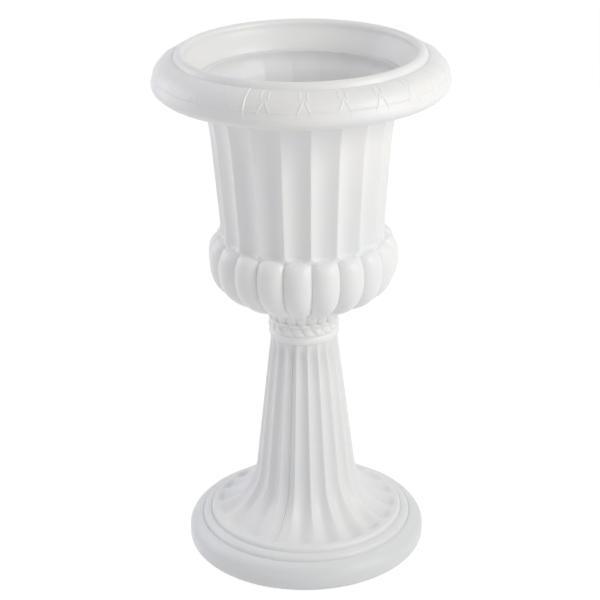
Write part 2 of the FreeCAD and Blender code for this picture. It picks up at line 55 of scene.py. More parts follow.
SHELL_WALL = 3.0
PARTING_LINES = (math.pi / 2, 3 * math.pi / 2)
SEAM_POINTS = (0.1, 0.2, 0.32, 0.46, 0.62, 0.8, 1.0, 1.3)  # degrees to each side of a parting line

foot_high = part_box("pedestal_shell")[1]
base_radius = foot_high.y / MM
collar_top = foot_high.z / MM


def with_seams(angles):
    """Angles of a grid's columns, with closer ones set in beside the two parting lines."""
    reach = np.radians(SEAM_POINTS)
    away = np.min([
        abs(np.mod(angles - seam + math.pi, 2 * math.pi) - math.pi) for seam in PARTING_LINES], axis=0)
    fine = [seam + offset for seam in PARTING_LINES for offset in (*-reach, 0.0, *reach)]
    return np.sort(np.mod(np.concatenate([angles[away > reach[-1] * 1.1], fine]), 2 * math.pi))


across_flute = np.linspace(-1, 1, POINTS_PER_FLUTE, endpoint=False)
across_flute = 0.55 * across_flute + 0.45 * np.sin(math.pi / 2 * across_flute)
FLUTED = with_seams((math.pi / 2 + FLUTE_PITCH * (np.arange(FLUTES)[:, None] + across_flute / 2)).ravel())


def flute_place(turn=0.0):
    """Where each column lies across its flute: 0 in the middle, -1 and 1 at the arrises."""
    return 2 * np.mod((FLUTED - math.pi / 2 + turn) / FLUTE_PITCH + 0.5, 1) - 1


ACROSS = flute_place()


def path_through(corners, turn_step=12.0):
    """A path of (radius, height) points through corners (radius, height, fillet)."""
    points = []
    for number, (radius, height, fillet) in enumerate(corners):
        here = Vector((radius, height))
        if not fillet or number in (0, len(corners) - 1):
            points.append(here)
            continue
        before = Vector(corners[number - 1][:2]) - here
        after = Vector(corners[number + 1][:2]) - here
        half = before.angle(after) / 2
        back = min(fillet / math.tan(half), 0.49 * before.length, 0.49 * after.length)
        centre = here + (before.normalized() + after.normalized()).normalized() * (back / math.cos(half))
        first = here + before.normalized() * back - centre
        sweep = first.angle_signed(here + after.normalized() * back - centre)
        steps = max(2, round(math.degrees(abs(sweep)) / turn_step))
        for step in range(steps + 1):
            points.append(centre + Matrix.Rotation(-sweep * step / steps, 2) @ first)
    return np.array(points)


def curve_points(corners, count, crowding=1.0):
    """count + 1 points of the cubic curve with these corners; crowding over 1 gathers them at its start."""
    part = np.linspace(0, 1, count + 1)[:, None] ** crowding
    first, second, third, fourth = np.array(corners, float)
    rest = 1 - part
    near_start = rest ** 3 * first + 3 * rest ** 2 * part * second
    return near_start + 3 * rest * part ** 2 * third + part ** 3 * fourth


def crown(outer, inner, count, fullness=1.0):
    """A quarter-round from its outer (radius, height) up and in to its inner one; under 1 it is plumper."""
    turn = np.linspace(0, math.pi / 2, count + 1)[:, None]
    out, up = np.cos(turn) ** fullness, np.sin(turn) ** fullness
    return np.concatenate([
        inner[0] + (outer[0] - inner[0]) * out, outer[1] + (inner[1] - outer[1]) * up], axis=1)


def outward(path):
    """Unit normals of a path, to the right of the way along it."""
    steps = np.gradient(path, axis=0)
    steps /= np.maximum(np.linalg.norm(steps, axis=1), 1e-9)[:, None]
    return np.stack([steps[:, 1], -steps[:, 0]], axis=1)


def length_along(path):
    return np.concatenate([[0], np.cumsum(np.linalg.norm(np.diff(path, axis=0), axis=1))])


def flash(path, angles, height=0.5, width=0.62, groove=0.35):
    """Relief of the parting lines: a thin ridge where the mould halves met, and a fine step beside it."""
    beside = path[:, :1] * (np.sign(np.sin(angles)) * np.cos(angles))[None, :]
    ridge = np.exp(-((beside / width) ** 2))
    step = np.exp(-(((beside + 1.8 * width) / width) ** 2))
    return groove * step - height * ridge


def relief_rows(path, relief, inset=0.0):
    """Rows of (radius, height) round the axis: a path moved in, square to itself, by relief and inset."""
    return path[:, None, :] - (np.asarray(relief) + inset)[:, :, None] * outward(path)[:, None, :]


def plain_rows(path, angles):
    return np.repeat(np.asarray(path, float)[:, None, :], len(angles), axis=1)


def add_mesh(name, spots, faces):
    mesh = bpy.data.meshes.new(name)
    mesh.from_pydata((np.asarray(spots).reshape(-1, 3) * MM).tolist(), [], faces)
    mesh.shade_smooth()
    piece = bpy.data.objects.new(name, mesh)
    bpy.context.scene.collection.objects.link(piece)
    return piece


def ring_mesh(name, blocks, angles, closed=True):
    """A turned form from blocks of rows, in order round its section; an open one is capped at both ends."""
    rows = np.concatenate(blocks)
    count, columns = rows.shape[:2]
    radii, heights = rows[:, :, 0], rows[:, :, 1]
    spots = np.stack([radii * np.cos(angles), radii * np.sin(angles), heights], axis=-1)
    last = count if closed else count - 1
    row, column = np.meshgrid(np.arange(last), np.arange(columns), indexing="ij")
    next_row, next_column = (row + 1) % count, (column + 1) % columns
    faces = np.stack([row * columns + column, row * columns + next_column,
                      next_row * columns + next_column, next_row * columns + column], axis=-1)
    faces = faces.reshape(-1, 4).tolist()
    if not closed:
        faces.append(list(range(columns))[::-1])
        faces.append(list(range((count - 1) * columns, count * columns)))
    return add_mesh(name, spots, faces)


def block(size, centre):
    """A closed box."""
    form = bmesh.new()
    bmesh.ops.create_cube(form, size=1)
    bmesh.ops.scale(form, vec=Vector(size) * MM, verts=form.verts)
    bmesh.ops.translate(form, vec=Vector(centre) * MM, verts=form.verts)
    return finish_form(form, "block")


def rod(radius, length, centre, direction=(0, 0, 1), sides=48):
    """A closed cylinder along a direction."""
    form = bmesh.new()
    bmesh.ops.create_cone(form, cap_ends=True, segments=sides, radius1=radius * MM, radius2=radius * MM,
                          depth=length * MM)
    turn = Vector((0, 0, 1)).rotation_difference(Vector(direction)).to_matrix()
    bmesh.ops.rotate(form, cent=(0, 0, 0), matrix=turn, verts=form.verts)
    bmesh.ops.translate(form, vec=Vector(centre) * MM, verts=form.verts)
    return finish_form(form, "rod")


def finish_form(form, name):
    mesh = bpy.data.meshes.new(name)
    form.to_mesh(mesh)
    form.free()
    made = bpy.data.objects.new(name, mesh)
    bpy.context.scene.collection.objects.link(made)
    return made


def combine(piece, tools, operation="DIFFERENCE"):
    """Cut the tools out of a piece, or join them to it, and keep the result as the piece's own mesh."""
    for tool in tools:
        change = piece.modifiers.new("change", "BOOLEAN")
        change.object = tool
        change.operation = operation
        change.solver = "MANIFOLD"
    bpy.context.view_layer.update()
    shaped = bpy.data.meshes.new_from_object(piece.evaluated_get(bpy.context.evaluated_depsgraph_get()))
    piece.modifiers.clear()
    piece.data = shaped
    for tool in tools:
        bpy.data.objects.remove(tool)


def dress(piece, material, body, node, crease=40):
    """Give a piece its material, its body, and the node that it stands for."""
    piece.data.set_sharp_from_angle(angle=math.radians(crease))
    piece.data.materials.clear()
    piece.data.materials.append(material)
    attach(piece, body)
    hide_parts(node)


def linear(hex_colour):
    """An sRGB hex colour as linear RGBA."""
    channels = [int(hex_colour[place:place + 2], 16) / 255 for place in (1, 3, 5)]
    return (*[((c + 0.055) / 1.055) ** 2.4 if c > 0.04045 else c / 12.92 for c in channels], 1.0)


def add_node(tree, kind, settings=None, inputs=None):
    """Add one shader node with its settings, and set or link its inputs."""
    made = tree.nodes.new(f"ShaderNode{kind}")
    for key, value in (settings or {}).items():
        setattr(made, key, value)
    for key, value in (inputs or {}).items():
        if isinstance(value, bpy.types.NodeSocket):
            tree.links.new(value, made.inputs[key])
        else:
            made.inputs[key].default_value = value
    return made


def new_material(name):
    """A node material with nothing in it but the place on the object."""
    material = bpy.data.materials.new(name)
    material.use_nodes = True
    material.node_tree.nodes.clear()
    return material, material.node_tree, add_node(material.node_tree, "TexCoord").outputs["Object"]


def cells_per_metre(size):
    """The scale of a noise whose cells are this many millimetres wide, as a whole number."""
    return float(round(1000 / size))


# Blow-moulded polypropylene: a milky white with a soft sheen that lets some light through its thin wall. The
# blasted mould's grain of a few tenths of a millimetre is too fine to show and is drawn as an orange peel of
# 4 mm. The walls wave a little over 30 mm, and handling leaves faint upright scuffs of about 7 mm. The foot
# is a touch greyer towards the bottom, and more scuffed from standing on the ground.
polypropylene, tree, place = new_material("moulded_polypropylene")
cloud = add_node(tree, "TexNoise", inputs={
    "Vector": place, "Scale": cells_per_metre(110.0), "Detail": 3.0, "Roughness": 0.55})
tint = add_node(tree, "MapRange", inputs={
    "Value": cloud.outputs["Fac"], "From Min": 0.35, "From Max": 0.65})
clean = add_node(tree, "Mix", {"data_type": "RGBA"}, {
    0: tint.outputs[0], 6: linear("#F1F2F3"), 7: linear("#F6F5F2")})
level = add_node(tree, "SeparateXYZ", inputs={0: place})
low_down = add_node(tree, "MapRange", inputs={
    "Value": level.outputs["Z"], "From Min": 0.032, "From Max": 0.062, "To Min": 1.0, "To Max": 0.0})
greyed = add_node(tree, "Mix", {"data_type": "RGBA"}, {
    0: low_down.outputs[0], 6: clean.outputs[2], 7: linear("#E8EBEB")})
peel = add_node(tree, "TexNoise", inputs={
    "Vector": place, "Scale": cells_per_metre(4.0), "Detail": 2.0, "Roughness": 0.5})
wave = add_node(tree, "TexNoise", inputs={
    "Vector": place, "Scale": cells_per_metre(30.0), "Detail": 1.0, "Roughness": 0.4})
upright = add_node(tree, "Mapping", inputs={"Vector": place, "Scale": (1.0, 1.0, 0.22)})
scratch = add_node(tree, "TexNoise", inputs={
    "Vector": upright.outputs[0], "Scale": cells_per_metre(6.67), "Detail": 6.0, "Roughness": 0.7})
scuff = add_node(tree, "MapRange", inputs={
    "Value": scratch.outputs["Fac"], "From Min": 0.66, "From Max": 0.8, "To Max": 1.0})
rubbed = add_node(tree, "Math", {"operation": "MULTIPLY"}, {0: scuff.outputs[0], 1: low_down.outputs[0]})
worn = add_node(tree, "Math", {"operation": "MULTIPLY"}, {0: rubbed.outputs[0], 1: 0.5})
colour = add_node(tree, "Mix", {"data_type": "RGBA"}, {
    0: worn.outputs[0], 6: greyed.outputs[2], 7: linear("#B9BEBF")})
rough = add_node(tree, "MapRange", inputs={
    "Value": wave.outputs["Fac"], "From Min": 0.3, "From Max": 0.7, "To Min": 0.33, "To Max": 0.42})
roughness = add_node(tree, "Math", {"operation": "MULTIPLY_ADD"}, {
    0: scuff.outputs[0], 1: 0.12, 2: rough.outputs[0]})
peel_bump = add_node(tree, "Bump", inputs={
    "Height": peel.outputs["Fac"], "Strength": 0.1, "Distance": 0.00025})
wave_bump = add_node(tree, "Bump", inputs={
    "Height": wave.outputs["Fac"], "Strength": 0.22, "Distance": 0.0008, "Normal": peel_bump.outputs[0]})
scuff_bump = add_node(tree, "Bump", inputs={
    "Height": scuff.outputs[0], "Strength": 0.18, "Distance": 0.0003, "Normal": wave_bump.outputs[0]})
skin = add_node(tree, "BsdfPrincipled", inputs={
    "Base Color": colour.outputs[2], "Roughness": roughness.outputs[0], "IOR": 1.49,
    "Subsurface Weight": 0.35, "Subsurface Radius": (1.0, 0.97, 0.9), "Subsurface Scale": 0.008,
    "Normal": scuff_bump.outputs[0]})
add_node(tree, "OutputMaterial", inputs={"Surface": skin.outputs[0]})

FOOT_OPENING = 152.0
foot = np.concatenate([
    path_through([(FOOT_OPENING, 0.0, 0), (base_radius, 0.0, 19.0), (base_radius, 20.0, 0)]),
    crown((base_radius, 20.5), (157.8, 38.7), 13, 1.2), [(156.9, 37.9)],
    crown((156.3, 38.6), (144.6, 46.4), 9, 0.95), [(143.7, 45.6)],
    crown((143.1, 46.3), (138.6, 53.0), 6, 0.95)])
FLARE = [(137.5, 53.3), (102.0, 62.5), (77.4, 90.0), (73.6, 122.0)]
COLUMN_HEAD = (48.6, 334.0)
flare = curve_points(FLARE, 50, 1.3)
column = np.linspace(FLARE[-1], COLUMN_HEAD, 15)[1:]
shaft = np.concatenate([flare, column])

SOFT_FROM_RADIUS = 76.0
SOFT_OVER = 40.0
SOFT_SHARE = 0.6
DEEPEST_FLUTE = 5.6
FLUTE_HEAD_LENGTH = 4.0
FADE_LENGTH = 10.5


def shaft_flutes(path):
    """Hollow flutes, crisp on the column, that soften into rounded fins and fade on the foot."""
    run = length_along(path)[:, None]
    spread = np.clip((path[:, :1] - SOFT_FROM_RADIUS) / SOFT_OVER, 0, 1)
    depth = np.clip(0.066 * path[:, :1], 0, DEEPEST_FLUTE)
    head = np.clip(1 - (run[-1] - run) / FLUTE_HEAD_LENGTH, 0, 1)
    hollow = np.clip(1 - (ACROSS[None, :] / 0.985) ** 2 - head ** 2, 0, None)
    crisp = np.sqrt(hollow ** 2 + 0.0016) - 0.04
    soft = 0.5 + 0.5 * np.cos(math.pi * np.clip(np.abs(ACROSS)[None, :] / (0.97 - 0.12 * spread), 0, 1))
    fade = np.clip((run - 1.0 - 3.0 * ACROSS[None, :] ** 2) / FADE_LENGTH, 0, 1)
    shape = crisp * (1 - SOFT_SHARE * spread) + soft * SOFT_SHARE * spread
    return depth * shape * fade ** 2 * (3 - 2 * fade)


RING_TOP = 345.6
ROPE_JOIN = 359.0
ROPE_ROOT = 48.2
ring_turn = np.linspace(0, math.pi, 9)[1:-1]
ring_middle, ring_half = (COLUMN_HEAD[1] + RING_TOP) / 2, (RING_TOP - COLUMN_HEAD[1]) / 2
neck_ring = np.stack([
    ROPE_ROOT + 3.0 * np.sin(ring_turn) ** 0.9, ring_middle - ring_half * np.cos(ring_turn)], axis=1)


def rope_rows(bottom, top, lean, lean_above=0.0, bulge=3.9, full_height=None, count=16):
    """A turned rope whose strands climb to the left into those above; the wedges between open upwards."""
    level = np.linspace(0.02, 0.98, count)
    around = math.pi * level * (top - bottom) / (full_height or top - bottom)
    path = np.stack([ROPE_ROOT + bulge * np.sin(around) ** 0.8, bottom + (top - bottom) * level], axis=1)
    across = np.array([flute_place(math.radians(lean * (part - 1) - lean_above)) for part in level])
    strand = np.abs(across) ** (4.2 - 2.6 * level[:, None])
    depth = 3.9 * np.sin(around) ** 0.5 * (0.3 + 0.95 * level)
    return relief_rows(path, depth[:, None] * strand)


foot_relief = flash(foot, FLUTED, 0.25, 0.62, 0.3) * np.clip(foot[:, 1:] / 6.0, 0, 1)
outer = [relief_rows(foot, foot_relief),
         relief_rows(shaft, shaft_flutes(shaft) + flash(shaft, FLUTED, 0.75, 0.6, 1.1)),
         plain_rows(neck_ring, FLUTED),
         rope_rows(RING_TOP, ROPE_JOIN, 9.5, 7.0),
         rope_rows(ROPE_JOIN, collar_top, 7.0, full_height=14.0, count=11)]
SOCKET_RADIUS = 43.4
SOCKET_DEPTH = 24.0
SEAT_THICKNESS = 4.0
BOLT_HOLE_RADIUS = 5.5
HOLLOW_RADIUS = 42.2
seat_top = collar_top - SOCKET_DEPTH
seat_bottom = seat_top - SEAT_THICKNESS
socket = path_through([
    (47.6, collar_top, 0), (SOCKET_RADIUS, collar_top, 0.6), (SOCKET_RADIUS, seat_top, 0.5),
    (BOLT_HOLE_RADIUS, seat_top, 0), (BOLT_HOLE_RADIUS, seat_bottom, 0), (HOLLOW_RADIUS, seat_bottom, 2.0),
    (HOLLOW_RADIUS, COLUMN_HEAD[1] - 6, 0)], 30.0)
inner_shaft = slice(4, None, 4)
foot_hollow = base_radius - SHELL_WALL
hollow_foot = path_through([
    (133.0, 50.2, 0), (139.2, 48.4, 2.0), (141.0, 42.4, 2.0), (153.4, 41.0, 2.0), (154.6, 35.6, 2.0),
    (foot_hollow, 31.0, 14.0), (foot_hollow, SHELL_WALL, 7.0), (FOOT_OPENING, SHELL_WALL, 0)], 18.0)
pedestal = ring_mesh("fluted_pedestal", outer + [
    plain_rows(socket, FLUTED),
    relief_rows(shaft, shaft_flutes(shaft), SHELL_WALL)[inner_shaft][::-1],
    plain_rows(hollow_foot, FLUTED)], FLUTED)

DRAIN_PITCH = 30.0
DRAIN_RADIUS = 4.0
KEY_REACH = 42.2
KEYWAY_SIZE = (5.6, 8.8, 16.4)
WEEP_ANGLE = math.radians(24.0)
WEEP_RADIUS = 5.0
WEEP_REACH = 165.0
pedestal_cuts = [rod(DRAIN_RADIUS, 12.0, (side * DRAIN_PITCH, 0, collar_top - 26)) for side in (-1, 1)]
pedestal_cuts += [block(KEYWAY_SIZE, (side * KEY_REACH, 0, collar_top - 6.2)) for side in (-1, 1)]
for side in (-1, 1):
    way = Vector((side * math.sin(WEEP_ANGLE), math.cos(WEEP_ANGLE), 0))
    pedestal_cuts.append(rod(WEEP_RADIUS, 40.0, way * WEEP_REACH, way))
combine(pedestal, pedestal_cuts)
dress(pedestal, polypropylene, "pedestal", "pedestal_shell")

# ---------------------------------------------------------------- bowl
# The second large moulding: a spigot with two keys that drops into the neck, twenty plump gadroons that draw
# in to blunt tips over it, and a wall of twenty scooped flutes that curves out to the flange under the rim.
bowl_low, bowl_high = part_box("bowl_shell")
wall_top = bowl_high.z / MM
floor_bottom = bowl_low.z / MM
FLOOR_THICKNESS = 4.0
floor_top = floor_bottom + FLOOR_THICKNESS
LOBE_TIP = (52.3, collar_top + 0.12)
BELLY = (136.5, 456.0)
WALL_FOOT = (118.2, 489.4)
WALL_WAIST = (126.0, 615.0)
WALL_HEAD = (143.0, 705.0)
FLANGE_REACH = 151.0
FLANGE_THICKNESS = 3.0
flange_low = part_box("rim_collar")[0].z / MM - FLANGE_THICKNESS
flange_top = flange_low + FLANGE_THICKNESS

underside = np.concatenate([
    curve_points([LOBE_TIP, (52.6, 377.5), (60.8, 382.4), (73.0, 387.2)], 12),
    curve_points([(73.0, 387.2), (101.0, 397.6), (BELLY[0], 412.0), BELLY], 36)[1:]])


def lobe_depth(radius, deepest=9.4, fades_at=38.0):
    """Depth of the grooves between the gadroons, which fades towards their tips."""
    return deepest * np.clip((radius - fades_at) / (BELLY[0] - fades_at), 0, 1) ** 0.55


lobe_shape = 1 - (1 - np.abs(ACROSS) ** 2.0) ** 0.74
lobes = relief_rows(underside, lobe_depth(underside[:, :1]) * lobe_shape)

FLUTE_DEPTH = 6.8
UPRIGHT_TO = 514.0
corner_lift = np.abs(ACROSS) ** 4


def wall_radius(height):
    """Radius of the arrises: upright over the shoulder, leaning out to the waist, curving out above it."""
    lean = np.clip((height - UPRIGHT_TO) / (WALL_WAIST[1] - UPRIGHT_TO), 0, 1)
    climb = np.clip((height - WALL_WAIST[1]) / (WALL_HEAD[1] - WALL_WAIST[1]), 0, 1)
    below_waist = WALL_FOOT[0] + (WALL_WAIST[0] - WALL_FOOT[0]) * lean
    return below_waist + (WALL_HEAD[0] - WALL_WAIST[0]) * (0.4 * climb + 0.6 * climb ** 2.8)


def flute_hollow(height, ease=6.0):
    """Depth of the wall's flutes at a height: scoops with a rounded foot on the shoulder."""
    lift = np.clip(1 - (height - WALL_FOOT[1] - 6.0 * corner_lift) / ease, 0, 1)
    head = np.clip((height - WALL_WAIST[1]) / (WALL_HEAD[1] - WALL_WAIST[1]), 0, 1)
    arc = np.clip(1 - (np.abs(ACROSS) / 0.99) ** 2, 0, 1)
    return (FLUTE_DEPTH - 2.4 * head) * (np.sqrt(arc ** 2 + 0.0009) - 0.03) * np.sqrt(1 - lift ** 2)


shoulder_turn = np.linspace(0, math.pi / 2, 19)[1:, None]
shoulder_end = WALL_FOOT[1] - 5.0 * corner_lift
groove = lobe_depth(BELLY[0]) * lobe_shape * (1 - (shoulder_turn / (math.pi / 2)) ** 3)
shoulder = np.stack([
    WALL_FOOT[0] + (BELLY[0] - WALL_FOOT[0]) * np.cos(shoulder_turn) ** 0.85 - groove,
    BELLY[1] + (shoulder_end - BELLY[1]) * np.sin(shoulder_turn) ** 0.92 + 0 * groove], axis=-1)

wall_levels = np.concatenate([
    WALL_FOOT[1] + 14.0 * np.linspace(0, 1, 15)[1:] ** 1.3, np.linspace(506, 690, 34), [693.5, flange_low]])
wall = np.stack([
    [wall_radius(z) - flute_hollow(z), z + 0 * ACROSS] for z in wall_levels]).transpose(0, 2, 1)
wall = wall + flash(wall[:, 0, :], FLUTED, 0.14, 0.62, 0.08)[:, :, None] * np.array([-1.0, 0.0])
flange = plain_rows(path_through([
    (FLANGE_REACH - 6, flange_low, 0), (FLANGE_REACH, flange_low, 0.8), (FLANGE_REACH, flange_top, 0.8),
    (FLANGE_REACH - 6, flange_top, 0)], 45.0), FLUTED)
NECK_RADIUS = 143.2
SNAP_RADIUS = 144.4
neck = plain_rows(path_through([
    (NECK_RADIUS, flange_top, 0), (NECK_RADIUS, flange_low + 12, 0), (SNAP_RADIUS, flange_low + 13, 0.3),
    (SNAP_RADIUS, flange_low + 14, 0.3), (NECK_RADIUS, flange_low + 15, 0), (NECK_RADIUS, wall_top, 0.8),
    (141.4, wall_top, 0)], 45.0), FLUTED)

lining_levels = np.concatenate([
    [wall_top - 0.8, 714.0, 708.0, 702.0], np.linspace(696, 500, 28), [494.0, 487.0]])
thickening = np.clip((712.0 - lining_levels) / 16.0, 0, 1)


def lining_depth(height, share):
    """How far the inside lies behind the arrises: the flutes show through it softly, and not at its top."""
    return SHELL_WALL + (0.36 * flute_hollow(height) + 0.64 * (FLUTE_DEPTH - 1.2)) * share


lining = np.stack([
    [wall_radius(z) - lining_depth(z, share), z + 0 * ACROSS]
    for z, share in zip(lining_levels, thickening)]).transpose(0, 2, 1)
belly_inside = curve_points([(113.0, 481.0), (131.0, 470.0), (131.0, 420.0), (72.0, 392.4)], 22)
SPIGOT_RADIUS = 43.0
SPIGOT_BORE = 39.5
spigot = path_through([
    (58.0, 386.6, 0), (SPIGOT_BORE, 379.6, 4.0), (SPIGOT_BORE, floor_top, 3.0),
    (BOLT_HOLE_RADIUS, floor_top, 0), (BOLT_HOLE_RADIUS, floor_bottom, 0),
    (SPIGOT_RADIUS, floor_bottom, 1.2), (SPIGOT_RADIUS, LOBE_TIP[1], 0)], 30.0)
bowl = ring_mesh("fluted_bowl", [
    lobes, shoulder, wall, flange, neck, lining, plain_rows(belly_inside, FLUTED),
    plain_rows(spigot, FLUTED)], FLUTED)
KEY_SIZE = (4.8, 8.0, 14.4)
combine(bowl, [block(KEY_SIZE, (side * KEY_REACH, 0, LOBE_TIP[1] - 7.3)) for side in (-1, 1)], "UNION")
combine(bowl, [rod(DRAIN_RADIUS, 12.0, (side * DRAIN_PITCH, 0, floor_bottom + 2.0)) for side in (-1, 1)])
dress(bowl, polypropylene, "bowl", "bowl_shell")

# ---------------------------------------------------------------- seal
# A punched disc of black EPDM rubber between the bowl's floor and the upper washer, so that no water runs out
# through the bolt hole. Its edges are slightly rounded by the punch.
HARDWARE = np.linspace(0, 2 * math.pi, 96, endpoint=False)


def edge_ring(name, node, bore, round_edge):
    """A flat ring with softened edges, in its node's place."""
    low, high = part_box(node)
    radius, bottom, top = high.y / MM, low.z / MM, high.z / MM
    section = path_through([
        (bore, (bottom + top) / 2, 0), (bore, bottom, round_edge), (radius, bottom, round_edge),
        (radius, top, round_edge), (bore, top, round_edge), (bore, (bottom + top) / 2 + 0.1, 0)], 22.5)
    return ring_mesh(name, [plain_rows(section, HARDWARE)], HARDWARE)


# EPDM rubber sheet: near black and dull, with a faint bloom of about 8 mm. The grain from the rolls is too
# fine to show and is drawn at 1 mm.
rubber, tree, place = new_material("punched_epdm_rubber")
grain = add_node(tree, "TexNoise", inputs={
    "Vector": place, "Scale": cells_per_metre(1.0), "Detail": 3.0, "Roughness": 0.6})
bloom = add_node(tree, "TexNoise", inputs={
    "Vector": place, "Scale": cells_per_metre(8.3), "Detail": 2.0, "Roughness": 0.5})
colour = add_node(tree, "Mix", {"data_type": "RGBA"}, {
    0: bloom.outputs["Fac"], 6: linear("#19191A"), 7: linear("#2A2A2A")})
rough = add_node(tree, "MapRange", inputs={"Value": grain.outputs["Fac"], "To Min": 0.68, "To Max": 0.86})
bump = add_node(tree, "Bump", inputs={"Height": grain.outputs["Fac"], "Strength": 0.3, "Distance": 0.0001})
skin = add_node(tree, "BsdfPrincipled", inputs={
    "Base Color": colour.outputs[2], "Roughness": rough.outputs[0], "IOR": 1.52, "Normal": bump.outputs[0]})
add_node(tree, "OutputMaterial", inputs={"Surface": skin.outputs[0]})
SEAL_BORE = 5.3
PUNCHED_EDGE = 0.5
seal = edge_ring("rubber_seal", "seal_washer", SEAL_BORE, PUNCHED_EDGE)
dress(seal, rubber, "bowl", "seal_washer")

# ---------------------------------------------------------------- washers
# Two penny washers of zinc-plated steel spread the bolt's pull: one on the seal, one under the socket's
# floor. They are stamped, so their edges are slightly rounded.
# Zinc plating on steel: bright and faintly blue, with soft clouds of 5 to 6 mm. Its crystals are too fine to
# show and are drawn as specks of 0.7 mm.
zinc, tree, place = new_material("zinc_plated_steel")
clouding = add_node(tree, "TexNoise", inputs={
    "Vector": place, "Scale": cells_per_metre(5.55), "Detail": 4.0, "Roughness": 0.6})
speck = add_node(tree, "TexNoise", inputs={
    "Vector": place, "Scale": cells_per_metre(0.7143), "Detail": 2.0, "Roughness": 0.5})
colour = add_node(tree, "Mix", {"data_type": "RGBA"}, {
    0: clouding.outputs["Fac"], 6: linear("#A9AEB4"), 7: linear("#D0D3D4")})
rough = add_node(tree, "MapRange", inputs={"Value": clouding.outputs["Fac"], "To Min": 0.22, "To Max": 0.42})
bump = add_node(tree, "Bump", inputs={"Height": speck.outputs["Fac"], "Strength": 0.12, "Distance": 0.0001})
skin = add_node(tree, "BsdfPrincipled", inputs={
    "Base Color": colour.outputs[2], "Metallic": 1.0, "Roughness": rough.outputs[0],
    "Normal": bump.outputs[0]})
add_node(tree, "OutputMaterial", inputs={"Surface": skin.outputs[0]})
WASHER_BORE = 5.5
STAMPED_EDGE = 0.4
for side, body in (("upper", "bowl"), ("lower", "washer")):
    washer = edge_ring(f"{side}_washer", f"penny_washer_{side}", WASHER_BORE, STAMPED_EDGE)
    dress(washer, zinc, body, f"penny_washer_{side}")

# ---------------------------------------------------------------- tie bolt
# A zinc-plated M10 hexagon-head screw, 45 mm long and threaded over its whole length, which draws the bowl
# down into the socket. The thread is rolled, and the head is forged with a chamfered top.
bolt_low, bolt_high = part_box("tie_bolt")
bolt_tip, head_top = bolt_low.z / MM, bolt_high.z / MM
HEAD_HEIGHT = 6.4
HEAD_FLATS = 17.0
THREAD_PITCH = 1.5
THREAD_RADIUS = 4.98
THREAD_DEPTH = 0.8
ROWS_PER_TURN = 8
head_bottom = head_top - HEAD_HEIGHT
TURNED = np.linspace(0, 2 * math.pi, 72, endpoint=False)
hexagon = HEAD_FLATS / 2 / np.cos(np.mod(TURNED, math.pi / 3) - math.pi / 6)
levels = np.arange(bolt_tip + 1.0, head_bottom - 0.6, THREAD_PITCH / ROWS_PER_TURN)
turns = np.mod(levels[:, None] / THREAD_PITCH - TURNED[None, :] / (2 * math.pi), 1)
thread = THREAD_RADIUS - THREAD_DEPTH * (1 - np.clip(np.abs(2 * turns - 1) * 1.25 - 0.1, 0, 1))
lead = THREAD_RADIUS - 1.1 + np.clip(levels - bolt_tip - 1.0, 0, 2)[:, None] * 0.6
thread = np.minimum(thread, lead)
shank = np.stack([thread, levels[:, None] + 0 * thread], axis=-1)
tip = plain_rows([(0.8, bolt_tip), (2.9, bolt_tip), (3.7, bolt_tip + 0.8)], TURNED)
head_section = (
    (THREAD_RADIUS, head_bottom - 0.3), (5.3, head_bottom), (7.9, head_bottom), (8.2, head_bottom + 0.25),
    (9.9, head_bottom + 0.5), (9.9, head_top - 1.1), (9.2, head_top - 0.55), (8.35, head_top - 0.1),
    (7.9, head_top), (4.0, head_top), (0.8, head_top))
head = np.stack([
    np.stack([np.minimum(hexagon, reach), height + 0 * hexagon], axis=-1) for reach, height in head_section])
bolt = ring_mesh("hexagon_bolt", [tip, shank, head], TURNED, closed=False)
dress(bolt, zinc, "bolt", "tie_bolt", 32)

# ---------------------------------------------------------------- wing nut
# A cast, zinc-plated wing nut under the lower washer, turned by hand through the open foot. Its two wings
# hang down past the hub, rounded at the tips.
nut_low, nut_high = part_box("wing_nut")
nut_bottom, nut_top = nut_low.z / MM, nut_high.z / MM
NUT_BORE = 5.1
HUB_HEIGHT = 8.5
WING_THICKNESS = 3.2
hub_bottom = nut_top - HUB_HEIGHT
nut = ring_mesh("winged_nut", [plain_rows(path_through([
    (NUT_BORE, nut_top - 4, 0), (NUT_BORE, hub_bottom, 0.6), (7.5, hub_bottom, 0.9), (9.5, nut_top, 0.7),
    (NUT_BORE, nut_top, 0.6), (NUT_BORE, nut_top - 3.9, 0)], 22.5), HARDWARE)], HARDWARE)


def wing(side):
    """One wing: its outline with a bevelled edge."""
    outline = path_through([
        (7.0, nut_top - 1.5, 0), (6.0, nut_top - 7.0, 0), (12.0, nut_bottom, 3.0), (18.0, nut_bottom, 5.0),
        (20.2, nut_bottom + 8.0, 2.4), (13.0, nut_bottom + 11.0, 5.0), (7.0, nut_top - 1.5, 0)], 15.0)[:-1]
    form = bmesh.new()
    corners = [form.verts.new((side * x * MM, -WING_THICKNESS / 2 * MM, z * MM)) for x, z in outline]
    face = form.faces.new(corners)
    thick = bmesh.ops.extrude_face_region(form, geom=[face])["geom"]
    bmesh.ops.translate(form, vec=(0, WING_THICKNESS * MM, 0),
                        verts=[part for part in thick if isinstance(part, bmesh.types.BMVert)])
    bmesh.ops.recalc_face_normals(form, faces=form.faces)
    rims = [edge for edge in form.edges if abs(edge.verts[0].co.y - edge.verts[1].co.y) < 1e-7]
    bmesh.ops.bevel(form, geom=rims, offset=0.9 * MM, segments=3, profile=0.5, affect="EDGES")
    return finish_form(form, "wing")


combine(nut, [wing(side) for side in (-1, 1)], "UNION")
nut.data.shade_smooth()
dress(nut, zinc, "nut", "wing_nut")

